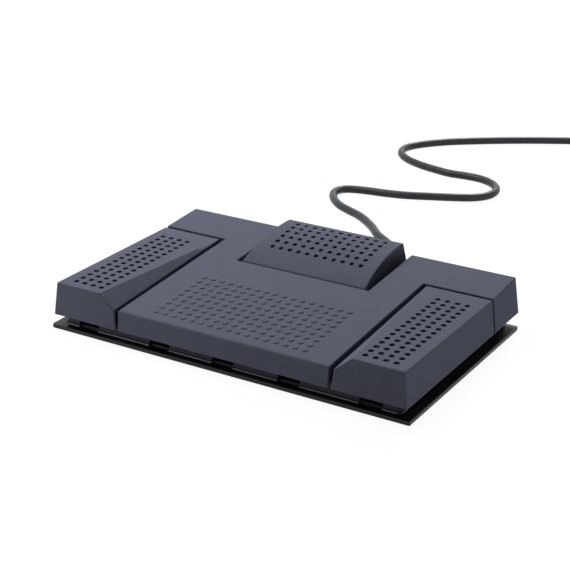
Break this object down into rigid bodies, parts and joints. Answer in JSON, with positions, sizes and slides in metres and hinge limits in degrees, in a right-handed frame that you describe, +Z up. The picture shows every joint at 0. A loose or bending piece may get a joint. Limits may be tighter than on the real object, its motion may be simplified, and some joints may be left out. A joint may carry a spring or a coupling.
{
  "type": "foot pedal switch",
  "caption": "Low foot switch with a sloping studded deck between long side pedals, a curved rear pedal, a flat black base plate and a signal cord that ends in a plug.",
  "frame": {"origin": "on the floor, under the middle of the housing's outline, with the cord left out", "axes": "+X to the user's right, +Y to the rear, where the cord leaves, +Z up"},
  "size_m": [0.3151, 0.673, 0.0501],
  "materials": {
    "housing_plastic": "finely textured moulding, slate blue-grey",
    "chassis_plastic": "moulded, dark grey",
    "base_steel": "satin black coating",
    "foot_rubber": "matt black",
    "bright_steel": "bright zinc",
    "spring_steel": "drawn wire",
    "black_steel": "black oxide",
    "switch_case": "moulded, black",
    "plunger_red": "moulded, red",
    "terminal_brass": "plated",
    "board_laminate": "green solder mask",
    "chip_resin": "moulded, black",
    "can_metal": "bright can",
    "sleeve_plastic": "shrunk sleeve, dark blue",
    "ivory_plastic": "moulded, ivory",
    "wire_pvc": "soft insulation",
    "cord_pvc": "satin flexible jacket, dark grey",
    "tie_plastic": "flexible band, black",
    "plug_plastic": "overmoulded, dark grey",
    "plug_steel": "plated sheet",
    "white_plastic": "moulded, white"
  },
  "bodies": {
    "housing": {"top_cover": "housing_plastic", "chassis": "chassis_plastic", "cord_clamp": "chassis_plastic", "base_plate": "base_steel", "rubber_feet": "foot_rubber", "left_bumper": "foot_rubber", "right_bumper": "foot_rubber", "rear_bumpers": "foot_rubber", "left_hinge_pin": "bright_steel", "right_hinge_pin": "bright_steel", "rear_hinge_pin": "bright_steel", "switch_screws": "bright_steel", "board_screws": "bright_steel", "clamp_screws": "bright_steel", "left_spring": "spring_steel", "right_spring": "spring_steel", "rear_spring": "spring_steel", "base_screws": "black_steel", "cover_screws": "black_steel", "left_switch": "switch_case", "right_switch": "switch_case", "rear_switch": "switch_case", "switch_terminals": "terminal_brass", "plug_contacts": "terminal_brass", "circuit_board": "board_laminate", "controller_chip": "chip_resin", "crystal": "can_metal", "capacitors": "sleeve_plastic", "board_headers": "ivory_plastic", "left_wires": "wire_pvc", "right_wires": "wire_pvc", "rear_wires": "wire_pvc", "cord_lead": "cord_pvc", "cord": "cord_pvc", "cord_coil": "cord_pvc", "cord_tail": "cord_pvc", "strain_relief": "cord_pvc", "coil_tie": "tie_plastic", "plug_grip": "plug_plastic", "plug_shell": "plug_steel", "plug_insert": "white_plastic"},
    "left_pedal": {"left_pedal": "housing_plastic"},
    "right_pedal": {"right_pedal": "housing_plastic"},
    "rear_pedal": {"rear_pedal": "housing_plastic"},
    "left_plunger": {"left_plunger": "plunger_red"},
    "right_plunger": {"right_plunger": "plunger_red"},
    "rear_plunger": {"rear_plunger": "plunger_red"}
  },
  "joints": [
    {"name": "left_pedal_press", "type": "hinge", "parent": "housing", "child": "left_pedal", "pos_m": [-0.11817, 0.041, 0.029], "axis": [1, 0, 0], "range_deg": [0, 2.8], "stiffness_Nm_per_rad": 9.5, "springref_deg": -6.02, "deforming": ["left_spring"]},
    {"name": "right_pedal_press", "type": "hinge", "parent": "housing", "child": "right_pedal", "pos_m": [0.11817, 0.041, 0.029], "axis": [1, 0, 0], "range_deg": [0, 2.8], "stiffness_Nm_per_rad": 9.5, "springref_deg": -6.02, "deforming": ["right_spring"]},
    {"name": "rear_pedal_press", "type": "hinge", "parent": "housing", "child": "rear_pedal", "pos_m": [0, 0.029, 0.026], "axis": [-1, 0, 0], "range_deg": [0, 5], "stiffness_Nm_per_rad": 1.6, "springref_deg": -11.46, "deforming": ["rear_spring"]},
    {"name": "left_plunger_slide", "type": "slide", "parent": "housing", "child": "left_plunger", "axis": [0, 0, -1], "range_m": [0, 0.00139]},
    {"name": "right_plunger_slide", "type": "slide", "parent": "housing", "child": "right_plunger", "axis": [0, 0, -1], "range_m": [0, 0.00139]},
    {"name": "rear_plunger_slide", "type": "slide", "parent": "housing", "child": "rear_plunger", "axis": [0, 0, -1], "range_m": [0, 0.0015]}
  ],
  "couplings": [
    {"joint": "left_plunger_slide", "follows": "left_pedal_press", "m_per_rad": 0.028},
    {"joint": "right_plunger_slide", "follows": "right_pedal_press", "m_per_rad": 0.028},
    {"joint": "rear_plunger_slide", "follows": "rear_pedal_press", "m_per_rad": 0.017}
  ]
}
